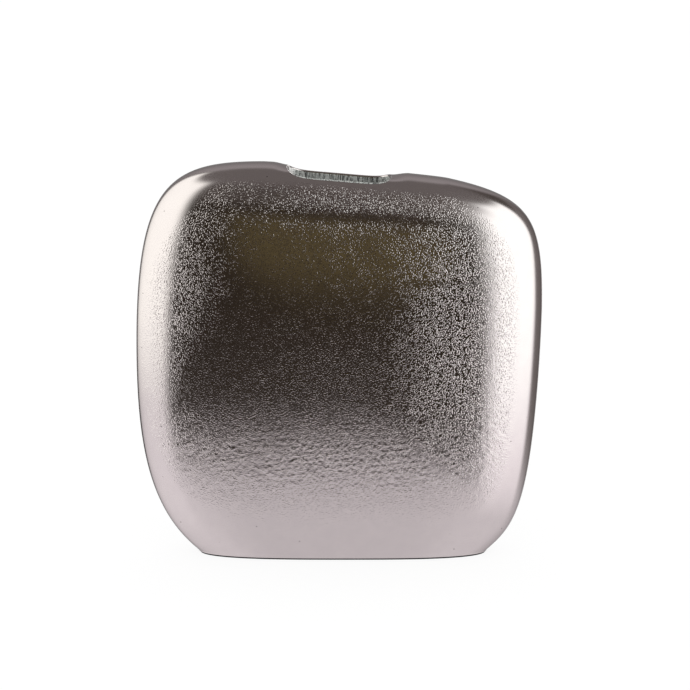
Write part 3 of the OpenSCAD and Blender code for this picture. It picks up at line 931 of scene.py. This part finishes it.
def studio_floor(studio):
    """White floor, wide enough to meet the white world. The camera sees it mostly as plain white, and
    the rest of what it sees is the floor's own shading, which keeps a soft shadow of the vase."""
    material, tree = new_material("white_floor")
    camera = add(tree, "ShaderNodeLightPath").outputs["Is Camera Ray"]
    plain = times(tree, camera, studio.floor_white)
    paint = add(tree, "ShaderNodeBsdfDiffuse", {"Color": studio.floor_paint})
    white = add(tree, "ShaderNodeEmission", {"Color": WHITE, "Strength": FLOOR_GLOW})
    looks = {0: plain, 1: paint.outputs["BSDF"], 2: white.outputs["Emission"]}
    show(material, looks, "ShaderNodeMixShader")
    corners = np.array([(-1, -1, 0), (1, -1, 0), (1, 1, 0), (-1, 1, 0)]) * FLOOR_REACH / MM
    floor = add_mesh("floor", corners, [(np.array([[0, 1, 2, 3]]), 0)], [material], STAGE_EDGE)
    floor.visible_glossy = False


def white_world():
    """World that lights the vase and the floor evenly from all round, and shows as plain white."""
    world = bpy.data.worlds.new("studio_white")
    bpy.context.scene.world = world
    world.use_nodes = True
    tree = world.node_tree
    tree.nodes.clear()
    sky = add(tree, "ShaderNodeBackground", {"Color": WHITE, "Strength": 1.0})
    add(tree, "ShaderNodeOutputWorld", {"Surface": sky.outputs["Background"]})


# Width of the camera's sensor in millimetres, and the nearest and furthest that it sees in metres
SENSOR_W = 36.0
CLIP = (0.05, 60.0)


def photo_camera(studio):
    """Camera at the photograph's angle: in front of the vase, above it, and looking slightly down."""
    data = bpy.data.cameras.new("camera")
    camera = bpy.data.objects.new("camera", data)
    bpy.context.scene.collection.objects.link(camera)
    data.lens, data.sensor_width = studio.lens, SENSOR_W
    data.clip_start, data.clip_end = CLIP
    spot = Vector(studio.camera_at)
    camera.location = spot
    camera.rotation_euler = (Vector(studio.camera_aim) - spot).to_track_quat("-Z", "Y").to_euler()
    bpy.context.scene.camera = camera


def colour(name, description, tone):
    """Colour property whose default is an sRGB hex tone."""
    return FloatVectorProperty(
        name=name, description=description, default=linear(tone),
        size=4, min=0, max=1, subtype="COLOR",
    )


def length(name, description, size, most, least=0):
    """Length property, from its default, highest and lowest size in millimetres."""
    return FloatProperty(
        name=name, description=description, default=size * MM,
        min=least * MM, max=most * MM, unit="LENGTH",
    )


def fraction(name, description, share):
    """Property between 0 and 1."""
    return FloatProperty(
        name=name, description=description, default=share, min=0, max=1, subtype="FACTOR",
    )


def position(name, description, place):
    """Property that is a place in metres."""
    return FloatVectorProperty(
        name=name, description=description, default=place, subtype="TRANSLATION", unit="LENGTH",
    )


class VaseFinish(bpy.types.PropertyGroup):
    """Finish of the castings."""

    sand_size: length("Sand size", "Size of the sand's grains in the skin", 0.88, 5, 0.3)
    sand_height: length("Sand height", "Height of the sand's grains in the skin", 0.2, 1)
    relief_height: length("Relief height", "Height of the skin's coarser relief", 0.035, 0.3)
    satin_height: length("Satin height", "Height of the belt's marks on the linished parts", 0.008, 0.1)
    side_roughness: fraction("Side roughness", "Roughness of the linished crown and sides", 0.17)
    face_roughness: fraction("Face roughness", "Roughness of the blasted faces between the grains", 0.115)
    metal_dark: colour("Dark metal", "Darker patches of the castings' metal", "#BCB2B4")
    metal_pale: colour("Pale metal", "Paler patches of the castings' metal", "#C3B9BA")
    # Dark colour of the gas pits, which have no hollow in the mesh
    pit_dark: colour("Pits", "Dark colour of the small gas pits", "#5A5252")
    throat_metal: colour("Throat", "Raw metal inside the mouth", "#CFD0CE")
    # Painted shade in the grooves between the throat's file marks
    throat_groove_shade: colour("Throat groove shade", "Painted shade between the file marks inside the mouth", "#5F605F")
    # Painted highlight on the throat's left end, where light falls on it
    throat_end_highlight: colour("Lit end", "Painted highlight on the throat's left end", "#FFFCFC")


class VaseBase(bpy.types.PropertyGroup):
    """Foot of the vase."""

    pad_rounding: length("Pad rounding", "Radius of the felt pad's cut edge", 0.3, 0.5, 0.05)
    felt_dark: colour("Dark felt", "Felt pad between its fibres", "#141415")
    felt_pale: colour("Pale felt", "Felt pad's fibres", "#2C2C2E")
    plate_dark: colour("Dark plate", "Plate in the foot, its darker lines", "#A3A19F")
    plate_pale: colour("Pale plate", "Plate in the foot, its paler lines", "#B4B2B0")


class VaseStudio(bpy.types.PropertyGroup):
    """Studio and camera."""

    floor_white: fraction("Plain white", "Share of the floor's look that is plain white to the camera", 0.85)
    floor_paint: colour("Floor", "Colour of the floor under the vase's shadow", "#F3F3F3")
    camera_at: position("Camera", "Where the camera stands", (0.004408, -2.0, 0.56))
    camera_aim: position("Aim", "Where the camera looks", (0.004408, 0.0, 0.1573))
    lens: FloatProperty(
        name="Lens", description="Focal length on a 36 mm sensor, in millimetres",
        default=143.66, min=20, max=400,
    )


class VASE_OT_castings(bpy.types.Operator):
    """Makes the front and the rear casting, mirror twins that meet in the seam's plane."""

    bl_idname = "vase.castings"
    bl_label = "Castings"

    def execute(self, context):
        finish = context.scene.vase_finish
        points, turn, groups = casting_mesh()
        share = grain_share(points, turn)
        relief = grain_relief(points, share, finish.relief_height / MM)
        skin = np.concatenate([faces for faces, _ in groups[:SKIN_GROUPS]])
        points = dip_rim(points - skin_normals(points, skin) * relief[:, None])
        materials = [sand_cast_skin(finish), raw_cast_inside(finish)]
        front = add_mesh("casting_front", points, groups, materials, METAL_EDGE)
        turned = [(faces[:, ::-1], number) for faces, number in groups]
        rear = add_mesh("casting_rear", points * (1, -1, 1), turned, materials, METAL_EDGE)
        for piece, solid in ((front, "front_shell"), (rear, "rear_shell")):
            put_attribute(piece, "grain", share)
            finish_piece(piece, "cast_metal", solid)
        return {"FINISHED"}


class VASE_OT_seam_welds(bpy.types.Operator):
    """Makes the ground weld up each side."""

    bl_idname = "vase.seam_welds"
    bl_label = "Seam welds"

    def execute(self, context):
        metal = ground_weld(context.scene.vase_finish)
        rims = [OUTLINE.crown(x) for x in RIM_X]
        runs = (("left", LEFT, 0.0, rims[0]), ("right", RIGHT, rims[1], OUTLINE.side_end))
        for side, part, first, last in runs:
            points, groups = weld_mesh(part, first, last)
            weld = add_mesh(f"seam_weld_{side}", points, groups, [metal], METAL_EDGE)
            finish_piece(weld, "weld_metal", f"{side}_seam_weld")
        return {"FINISHED"}


class VASE_OT_base(bpy.types.Operator):
    """Makes the felt pad, and gives the plate in the foot and its weld their metals."""

    bl_idname = "vase.base"
    bl_label = "Base"

    def execute(self, context):
        base = context.scene.vase_base
        points, groups = pad_mesh(base.pad_rounding / MM)
        pad = add_mesh("felt_pad", points, groups, [pressed_felt(base)], FELT_EDGE)
        finish_piece(pad, "pad", "base_pad")
        weld = ground_weld(context.scene.vase_finish)
        for name, metal in (("base_plate", rolled_plate(base)), ("base_weld", weld)):
            for held in bpy.data.objects[name].material_slots:
                held.material = metal
        return {"FINISHED"}


class VASE_OT_studio(bpy.types.Operator):
    """Makes the floor, the reflectors, the white world and the camera."""

    bl_idname = "vase.studio"
    bl_label = "Studio"

    def execute(self, context):
        studio = context.scene.vase_studio
        white_world()
        studio_floor(studio)
        reflector_dome()
        photo_camera(studio)
        context.scene.view_settings.view_transform = "Standard"
        return {"FINISHED"}


class VASE_PT_pieces(bpy.types.Panel):
    """Shows the vase's groups of sizes and colours, each with the buttons of its operators."""

    bl_label = "Cast pillow vase"
    bl_idname = "VASE_PT_pieces"
    bl_space_type = "VIEW_3D"
    bl_region_type = "UI"
    bl_category = "Vase"

    def draw(self, context):
        for held, _, steps in GROUPS:
            group = getattr(context.scene, held)
            box = self.layout.box()
            for key in group.bl_rna.properties.keys():
                if key not in ("rna_type", "name"):
                    box.prop(group, key)
            for step in steps:
                box.operator(step.bl_idname)


# Name of each group of sizes and colours in the scene, its class, and the operators shown with it
GROUPS = (
    ("vase_finish", VaseFinish, (VASE_OT_castings, VASE_OT_seam_welds)),
    ("vase_base", VaseBase, (VASE_OT_base,)),
    ("vase_studio", VaseStudio, (VASE_OT_studio,)),
)
CLASSES = (
    *(group for _, group, _ in GROUPS),
    *(step for _, _, steps in GROUPS for step in steps),
    VASE_PT_pieces,
)


def register():
    """Registers the classes and gives the scene its groups."""
    for kind in CLASSES:
        bpy.utils.register_class(kind)
    for held, group, _ in GROUPS:
        setattr(bpy.types.Scene, held, PointerProperty(type=group))


def unregister():
    """Takes away what register gave."""
    for held, _, _ in GROUPS:
        delattr(bpy.types.Scene, held)
    for kind in reversed(CLASSES):
        bpy.utils.unregister_class(kind)


def main():
    """Makes every piece and the studio."""
    register()
    bpy.ops.vase.castings()
    bpy.ops.vase.seam_welds()
    bpy.ops.vase.base()
    bpy.ops.vase.studio()


if __name__ == "__main__":
    main()
